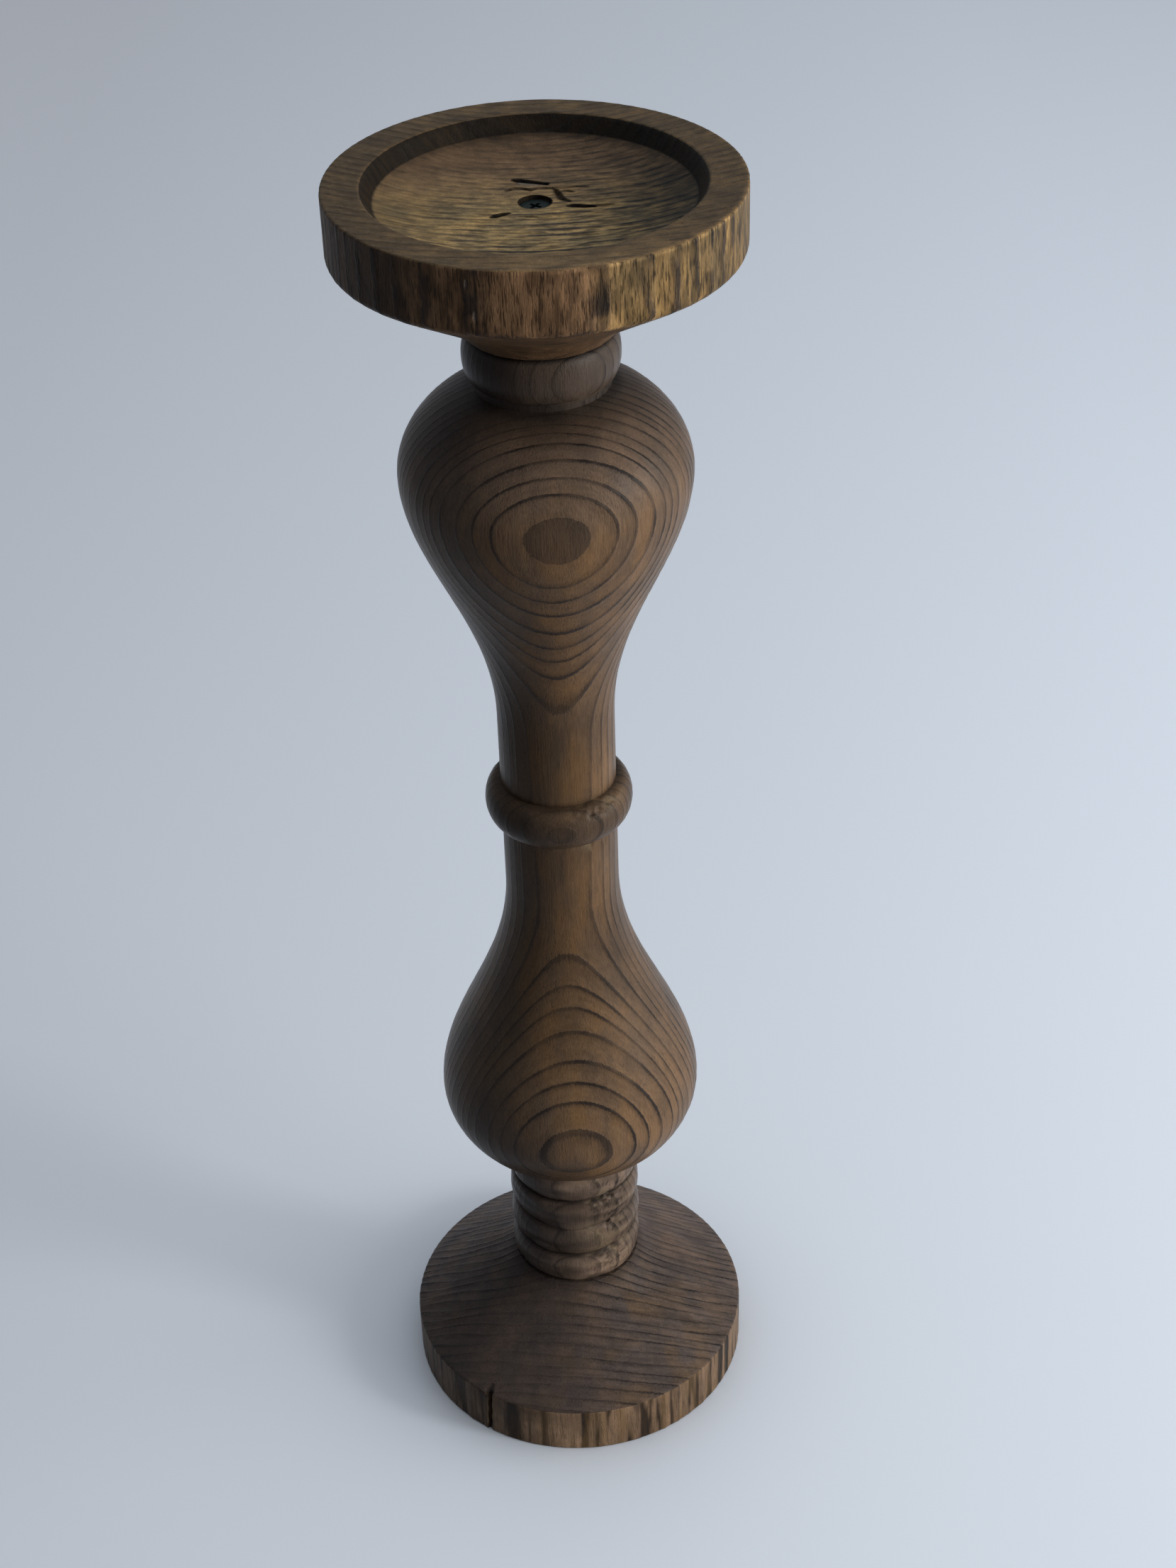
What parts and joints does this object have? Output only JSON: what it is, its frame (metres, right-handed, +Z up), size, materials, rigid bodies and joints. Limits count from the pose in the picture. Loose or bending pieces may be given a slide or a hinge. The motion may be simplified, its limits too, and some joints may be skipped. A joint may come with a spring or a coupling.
{
  "type": "candle holder",
  "caption": "Tall turned-wood candle holder: a shallow dish for a pillar candle on a double-baluster column with beads, standing on a round base.",
  "frame": {"origin": "centre of the base's underside, on the turning axis", "axes": "+Z up along the turning axis; the picture looks along +Y, so -Y is the front"},
  "size_m": [0.111, 0.111, 0.425],
  "materials": {
    "dish_wood": "stained softwood, worn satin, end grain on the floor",
    "column_wood": "stained softwood, satin",
    "base_wood": "stained softwood, satin",
    "screw_steel": "dark blued steel"
  },
  "bodies": {
    "root": {"dish": "dish_wood", "column": "column_wood", "base": "base_wood", "dish_screw": "screw_steel", "base_screw": "screw_steel"}
  },
  "joints": []
}
